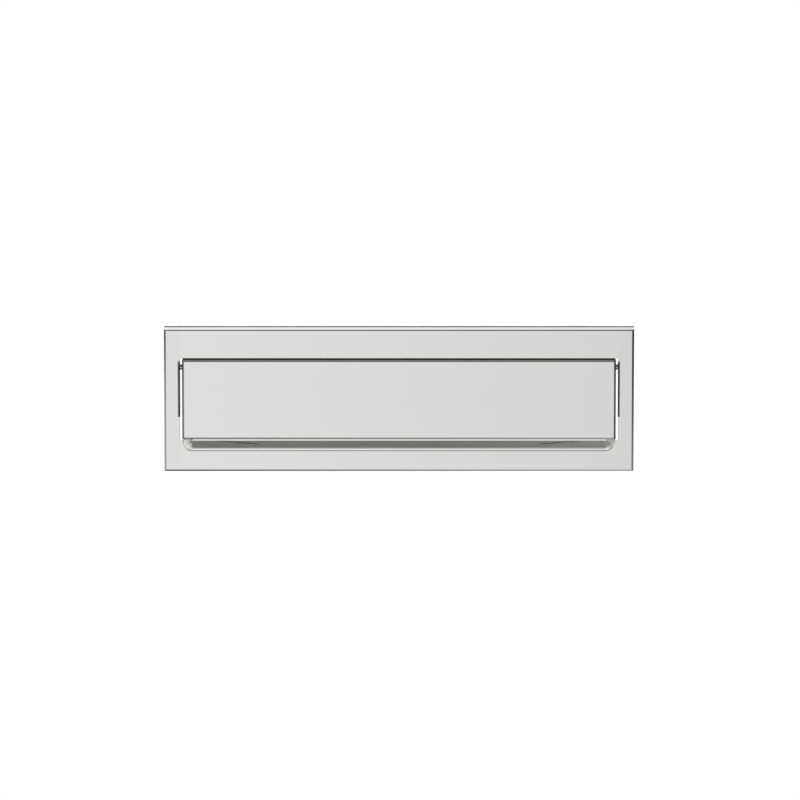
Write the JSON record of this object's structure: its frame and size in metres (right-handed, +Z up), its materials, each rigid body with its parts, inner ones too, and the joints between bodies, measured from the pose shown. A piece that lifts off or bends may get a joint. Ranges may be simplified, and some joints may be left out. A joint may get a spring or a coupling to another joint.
{
  "type": "letter plate",
  "caption": "Rectangular folded steel letter plate with a top-hinged flap that opens outwards, a pressed finger scoop, sprung pivots and a rear gasket.",
  "frame": {"origin": "middle of the plane of the door that the gasket seals against", "axes": "+X to the right seen from outside, along the plate's length; +Y into the door; +Z up"},
  "size_m": [0.254, 0.0105, 0.078],
  "materials": {
    "polished_steel": "mirror polished stainless sheet",
    "turned_steel": "turned stainless bar",
    "spring_wire": "bright drawn spring wire",
    "acetal": "black acetal",
    "foam_rubber": "closed-cell EPDM foam",
    "black_rubber": "moulded rubber"
  },
  "bodies": {
    "frame": {"faceplate": "polished_steel", "gasket": "foam_rubber", "left_pivot_pin": "turned_steel", "left_return_spring": "spring_wire", "left_clip_washer": "turned_steel", "left_pin_clip": "spring_wire", "right_pivot_pin": "turned_steel", "right_return_spring": "spring_wire", "right_clip_washer": "turned_steel", "right_pin_clip": "spring_wire", "upper_left_fixing_boss": "turned_steel", "upper_right_fixing_boss": "turned_steel", "lower_left_fixing_boss": "turned_steel", "lower_right_fixing_boss": "turned_steel", "left_bumper": "black_rubber", "middle_bumper": "black_rubber", "right_bumper": "black_rubber"},
    "flap": {"flap": "polished_steel", "weather_seal": "foam_rubber", "left_flap_bush": "acetal", "right_flap_bush": "acetal"}
  },
  "joints": [
    {"name": "flap_hinge", "type": "hinge", "parent": "frame", "child": "flap", "pos_m": [0, -0.0055, 0.0175], "axis": [-1, 0, 0], "range_deg": [0, 90], "stiffness_Nm_per_rad": 0.03, "springref_deg": -28.65, "deforming": ["left_return_spring", "right_return_spring"]}
  ]
}
